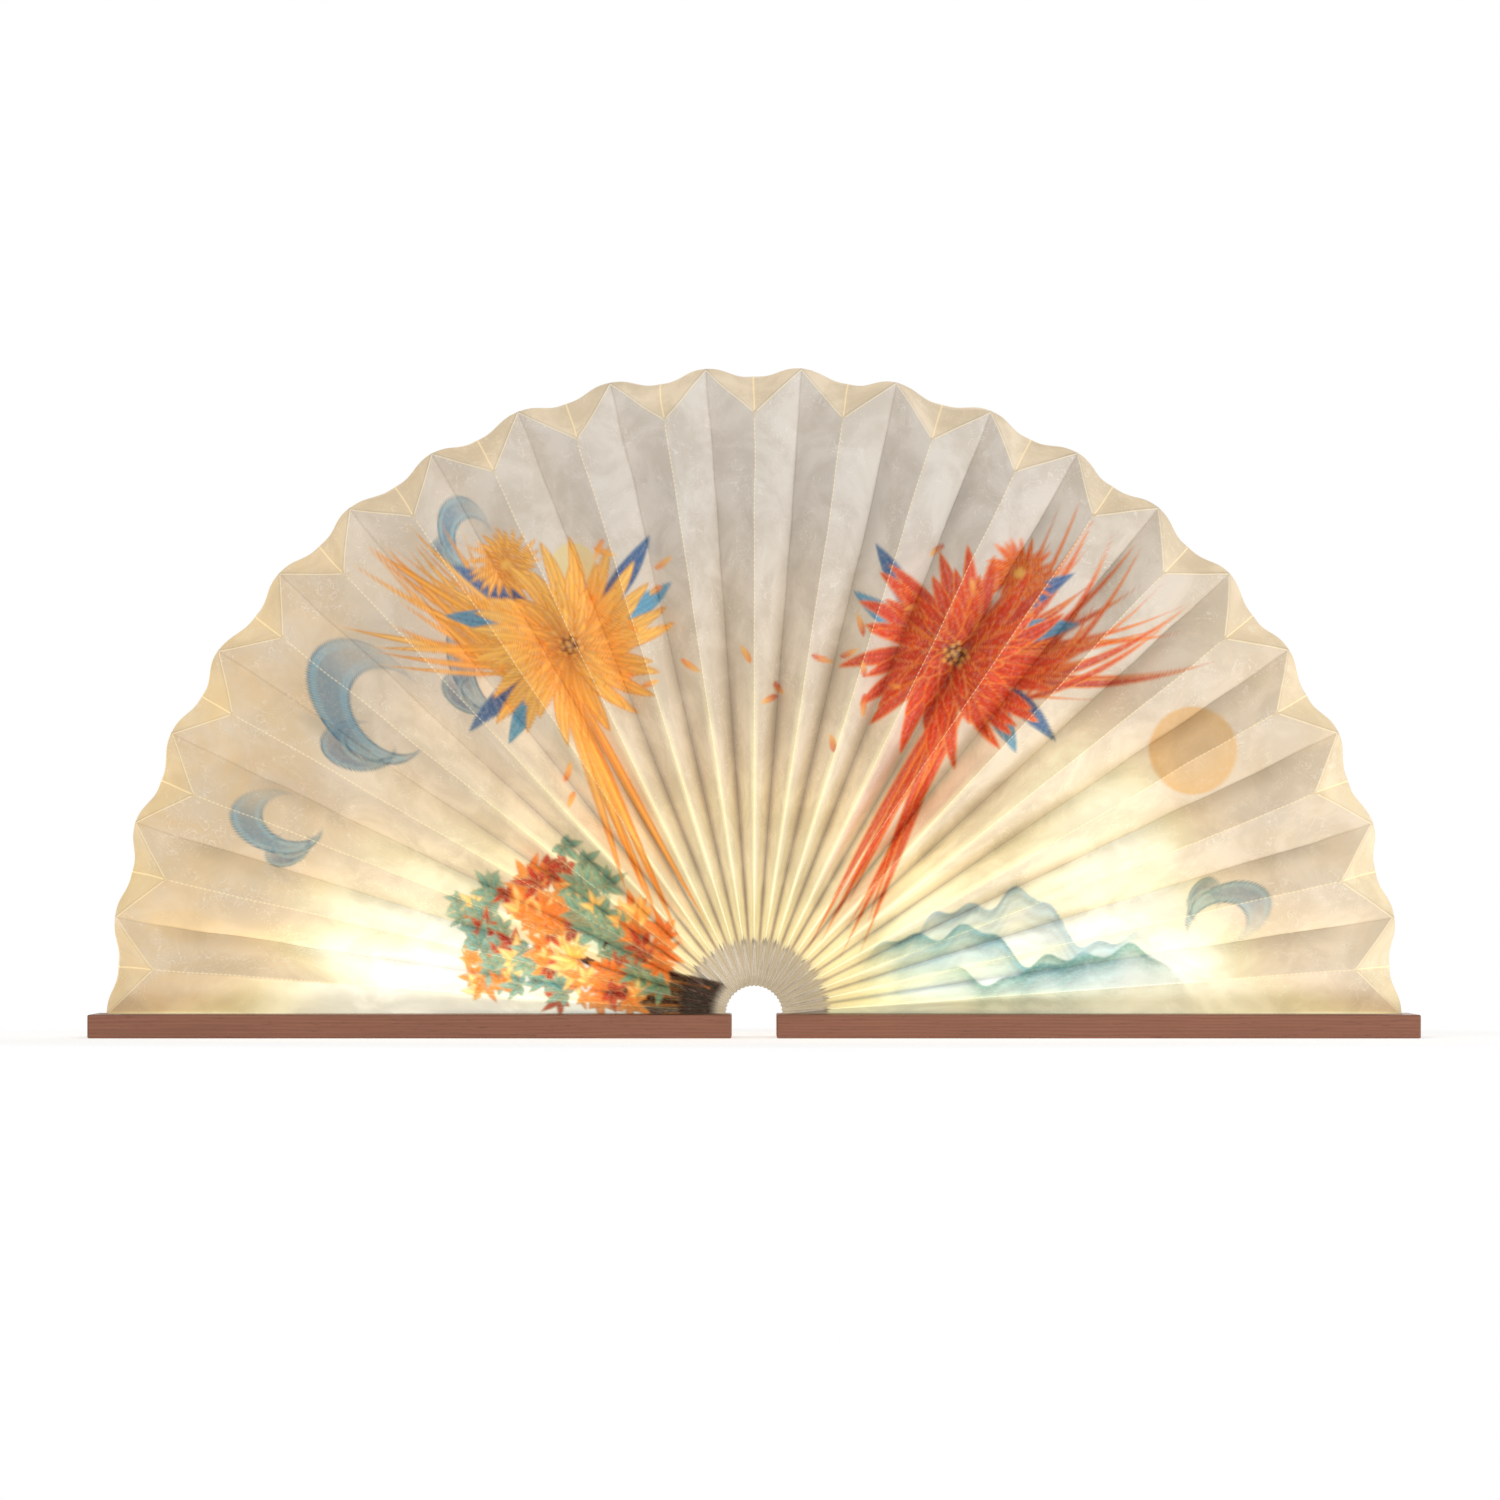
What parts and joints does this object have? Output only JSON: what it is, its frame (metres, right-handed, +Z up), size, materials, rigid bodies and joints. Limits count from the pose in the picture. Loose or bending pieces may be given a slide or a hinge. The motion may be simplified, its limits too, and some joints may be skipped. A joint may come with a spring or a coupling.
{
  "type": "accordion lamp",
  "caption": "Folding table lamp: two wooden covers open flat and spread a pleated paper bellows, lit from inside, into a half disc.",
  "frame": {"origin": "on the floor, under the middle of the open fan: the centre of the box's bottom", "axes": "+X to the right cover seen from the front, +Y away from the viewer, +Z up through the fan's top"},
  "size_m": [0.62, 0.086, 0.3137],
  "materials": {
    "walnut": "satin walnut",
    "bellows_paper": "matte fibre paper, printed, lit from inside",
    "leaf_paper": "matte paper",
    "frosted_plastic": "frosted white, lit",
    "circuit_board": "white solder mask",
    "light_chip": "phosphor, lit",
    "screw_steel": "plated",
    "socket_steel": "drawn sheet",
    "cell_foil": "pouch foil",
    "lead_plastic": "wire insulation",
    "white_plastic": "moulded",
    "black_plastic": "moulded",
    "button_plastic": "satin"
  },
  "bodies": {
    "cover_left": {"cover_left": "walnut", "inner_panel_left": "walnut", "panel_screws_left": "screw_steel", "end_leaf_left": "leaf_paper", "led_board_left": "circuit_board", "led_chips_left": "light_chip", "diffuser_left": "frosted_plastic", "diffuser_screws_left": "screw_steel", "battery": "cell_foil", "battery_leads": "lead_plastic", "battery_plug": "white_plastic", "control_board": "circuit_board", "board_screws": "screw_steel", "charging_socket": "socket_steel", "tact_switch": "black_plastic", "led_leads": "lead_plastic", "link_cable": "white_plastic"},
    "cover_right": {"cover_right": "walnut", "inner_panel_right": "walnut", "panel_screws_right": "screw_steel", "end_leaf_right": "leaf_paper", "led_board_right": "circuit_board", "led_chips_right": "light_chip", "diffuser_right": "frosted_plastic", "diffuser_screws_right": "screw_steel"},
    "power_button": {"power_button": "button_plastic"},
    "pleat_01": {"pleat_01": "bellows_paper"},
    "pleat_02": {"pleat_02": "bellows_paper"},
    "pleat_03": {"pleat_03": "bellows_paper"},
    "pleat_04": {"pleat_04": "bellows_paper"},
    "pleat_05": {"pleat_05": "bellows_paper"},
    "pleat_06": {"pleat_06": "bellows_paper"},
    "pleat_07": {"pleat_07": "bellows_paper"},
    "pleat_08": {"pleat_08": "bellows_paper"},
    "pleat_09": {"pleat_09": "bellows_paper"},
    "pleat_10": {"pleat_10": "bellows_paper"},
    "pleat_11": {"pleat_11": "bellows_paper"},
    "pleat_12": {"pleat_12": "bellows_paper"},
    "pleat_13": {"pleat_13": "bellows_paper"},
    "pleat_14": {"pleat_14": "bellows_paper"},
    "pleat_15": {"pleat_15": "bellows_paper"},
    "pleat_16": {"pleat_16": "bellows_paper"},
    "pleat_17": {"pleat_17": "bellows_paper"},
    "pleat_18": {"pleat_18": "bellows_paper"},
    "pleat_19": {"pleat_19": "bellows_paper"},
    "pleat_20": {"pleat_20": "bellows_paper"},
    "pleat_21": {"pleat_21": "bellows_paper"}
  },
  "joints": [
    {"name": "fan_fold", "type": "hinge", "parent": "cover_left", "child": "cover_right", "pos_m": [0, 0, 0.03142], "axis": [0, -1, 0], "range_deg": [0, 180], "deforming": ["link_cable"]},
    {"name": "power_press", "type": "slide", "parent": "cover_left", "child": "power_button", "axis": [0, -1, 0], "range_m": [0, 0.0008], "stiffness_N_per_m": 1500, "springref_m": -0.0003},
    {"name": "pleat_01_turn", "type": "hinge", "parent": "cover_left", "child": "pleat_01", "pos_m": [-0.01299, 0, 0.01149], "axis": [0, -1, 0], "range_deg": [0, 4.29], "deforming": ["pleat_01"]},
    {"name": "pleat_02_turn", "type": "hinge", "parent": "cover_left", "child": "pleat_02", "pos_m": [-0.01294, 0, 0.01246], "axis": [0, -1, 0], "range_deg": [0, 12.86], "deforming": ["pleat_02"]},
    {"name": "pleat_03_turn", "type": "hinge", "parent": "cover_left", "child": "pleat_03", "pos_m": [-0.01285, 0, 0.01343], "axis": [0, -1, 0], "range_deg": [0, 21.43], "deforming": ["pleat_03"]},
    {"name": "pleat_04_turn", "type": "hinge", "parent": "cover_left", "child": "pleat_04", "pos_m": [-0.0127, 0, 0.0144], "axis": [0, -1, 0], "range_deg": [0, 30], "deforming": ["pleat_04"]},
    {"name": "pleat_05_turn", "type": "hinge", "parent": "cover_left", "child": "pleat_05", "pos_m": [-0.01251, 0, 0.01538], "axis": [0, -1, 0], "range_deg": [0, 38.57], "deforming": ["pleat_05"]},
    {"name": "pleat_06_turn", "type": "hinge", "parent": "cover_left", "child": "pleat_06", "pos_m": [-0.01226, 0, 0.01635], "axis": [0, -1, 0], "range_deg": [0, 47.14], "deforming": ["pleat_06"]},
    {"name": "pleat_07_turn", "type": "hinge", "parent": "cover_left", "child": "pleat_07", "pos_m": [-0.01196, 0, 0.01732], "axis": [0, -1, 0], "range_deg": [0, 55.72], "deforming": ["pleat_07"]},
    {"name": "pleat_08_turn", "type": "hinge", "parent": "cover_left", "child": "pleat_08", "pos_m": [-0.01161, 0, 0.01829], "axis": [0, -1, 0], "range_deg": [0, 64.29], "deforming": ["pleat_08"]},
    {"name": "pleat_09_turn", "type": "hinge", "parent": "cover_left", "child": "pleat_09", "pos_m": [-0.0112, 0, 0.01927], "axis": [0, -1, 0], "range_deg": [0, 72.86], "deforming": ["pleat_09"]},
    {"name": "pleat_10_turn", "type": "hinge", "parent": "cover_left", "child": "pleat_10", "pos_m": [-0.01073, 0, 0.02024], "axis": [0, -1, 0], "range_deg": [0, 81.43], "deforming": ["pleat_10"]},
    {"name": "pleat_11_turn", "type": "hinge", "parent": "cover_left", "child": "pleat_11", "pos_m": [-0.01021, 0, 0.02121], "axis": [0, -1, 0], "range_deg": [0, 90], "deforming": ["pleat_11"]},
    {"name": "pleat_12_turn", "type": "hinge", "parent": "cover_left", "child": "pleat_12", "pos_m": [-0.00962, 0, 0.02218], "axis": [0, -1, 0], "range_deg": [0, 98.57], "deforming": ["pleat_12"]},
    {"name": "pleat_13_turn", "type": "hinge", "parent": "cover_left", "child": "pleat_13", "pos_m": [-0.00897, 0, 0.02315], "axis": [0, -1, 0], "range_deg": [0, 107.14], "deforming": ["pleat_13"]},
    {"name": "pleat_14_turn", "type": "hinge", "parent": "cover_left", "child": "pleat_14", "pos_m": [-0.00825, 0, 0.02413], "axis": [0, -1, 0], "range_deg": [0, 115.72], "deforming": ["pleat_14"]},
    {"name": "pleat_15_turn", "type": "hinge", "parent": "cover_left", "child": "pleat_15", "pos_m": [-0.00745, 0, 0.0251], "axis": [0, -1, 0], "range_deg": [0, 124.29], "deforming": ["pleat_15"]},
    {"name": "pleat_16_turn", "type": "hinge", "parent": "cover_left", "child": "pleat_16", "pos_m": [-0.00658, 0, 0.02607], "axis": [0, -1, 0], "range_deg": [0, 132.86], "deforming": ["pleat_16"]},
    {"name": "pleat_17_turn", "type": "hinge", "parent": "cover_left", "child": "pleat_17", "pos_m": [-0.00561, 0, 0.02704], "axis": [0, -1, 0], "range_deg": [0, 141.43], "deforming": ["pleat_17"]},
    {"name": "pleat_18_turn", "type": "hinge", "parent": "cover_left", "child": "pleat_18", "pos_m": [-0.00456, 0, 0.02802], "axis": [0, -1, 0], "range_deg": [0, 150], "deforming": ["pleat_18"]},
    {"name": "pleat_19_turn", "type": "hinge", "parent": "cover_left", "child": "pleat_19", "pos_m": [-0.0034, 0, 0.02899], "axis": [0, -1, 0], "range_deg": [0, 158.57], "deforming": ["pleat_19"]},
    {"name": "pleat_20_turn", "type": "hinge", "parent": "cover_left", "child": "pleat_20", "pos_m": [-0.00214, 0, 0.02996], "axis": [0, -1, 0], "range_deg": [0, 167.14], "deforming": ["pleat_20"]},
    {"name": "pleat_21_turn", "type": "hinge", "parent": "cover_left", "child": "pleat_21", "pos_m": [-0.00075, 0, 0.03093], "axis": [0, -1, 0], "range_deg": [0, 175.72], "deforming": ["pleat_21"]}
  ],
  "couplings": [
    {"joint": "pleat_01_turn", "follows": "fan_fold", "ratio": 0.02381},
    {"joint": "pleat_02_turn", "follows": "fan_fold", "ratio": 0.071429},
    {"joint": "pleat_03_turn", "follows": "fan_fold", "ratio": 0.11905},
    {"joint": "pleat_04_turn", "follows": "fan_fold", "ratio": 0.16667},
    {"joint": "pleat_05_turn", "follows": "fan_fold", "ratio": 0.21429},
    {"joint": "pleat_06_turn", "follows": "fan_fold", "ratio": 0.2619},
    {"joint": "pleat_07_turn", "follows": "fan_fold", "ratio": 0.30952},
    {"joint": "pleat_08_turn", "follows": "fan_fold", "ratio": 0.35714},
    {"joint": "pleat_09_turn", "follows": "fan_fold", "ratio": 0.40476},
    {"joint": "pleat_10_turn", "follows": "fan_fold", "ratio": 0.45238},
    {"joint": "pleat_11_turn", "follows": "fan_fold", "ratio": 0.5},
    {"joint": "pleat_12_turn", "follows": "fan_fold", "ratio": 0.54762},
    {"joint": "pleat_13_turn", "follows": "fan_fold", "ratio": 0.59524},
    {"joint": "pleat_14_turn", "follows": "fan_fold", "ratio": 0.64286},
    {"joint": "pleat_15_turn", "follows": "fan_fold", "ratio": 0.69048},
    {"joint": "pleat_16_turn", "follows": "fan_fold", "ratio": 0.7381},
    {"joint": "pleat_17_turn", "follows": "fan_fold", "ratio": 0.78571},
    {"joint": "pleat_18_turn", "follows": "fan_fold", "ratio": 0.83333},
    {"joint": "pleat_19_turn", "follows": "fan_fold", "ratio": 0.88095},
    {"joint": "pleat_20_turn", "follows": "fan_fold", "ratio": 0.92857},
    {"joint": "pleat_21_turn", "follows": "fan_fold", "ratio": 0.97619}
  ]
}
